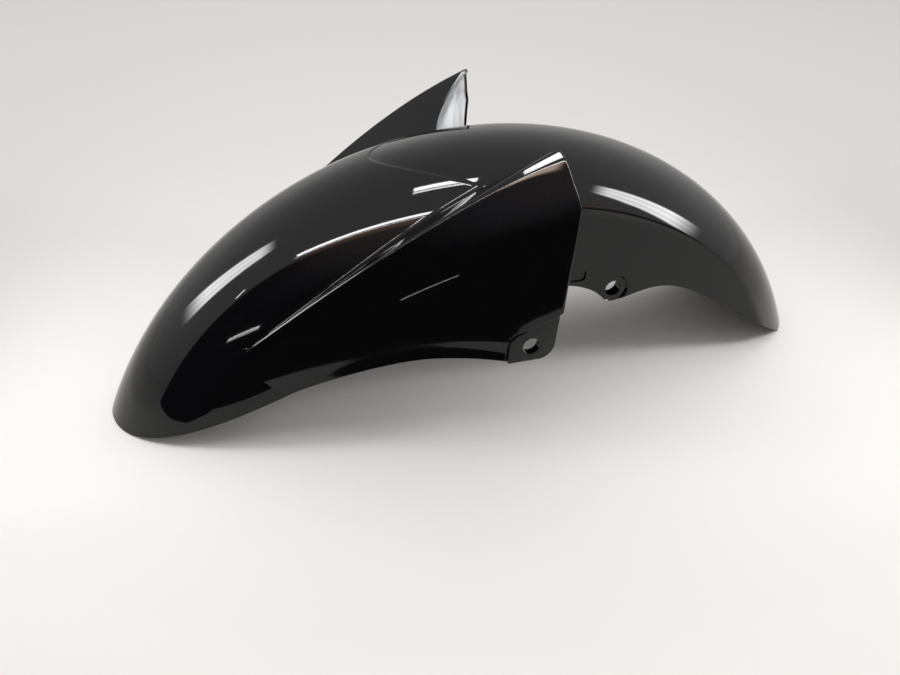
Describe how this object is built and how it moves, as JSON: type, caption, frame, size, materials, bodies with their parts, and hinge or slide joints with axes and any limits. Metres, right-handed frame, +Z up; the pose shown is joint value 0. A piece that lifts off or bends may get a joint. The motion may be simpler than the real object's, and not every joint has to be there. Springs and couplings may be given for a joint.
{
  "type": "motorcycle front mudguard",
  "caption": "Arched one-piece front mudguard with flared fork covers on both sides, notched for the fork legs, bolted on at side tabs and rear ears.",
  "frame": {"origin": "midway between the front and rear rims on the plane that they stand on, on the middle plane of the part; the wheel axis is 120 mm below", "axes": "+X to the rear of the motorcycle, +Y across to the side away from the picture's camera, +Z up"},
  "size_m": [0.5843, 0.2314, 0.2135],
  "materials": {
    "gloss_black": "gloss"
  },
  "bodies": {
    "root": {"mudguard": "gloss_black"}
  },
  "joints": []
}
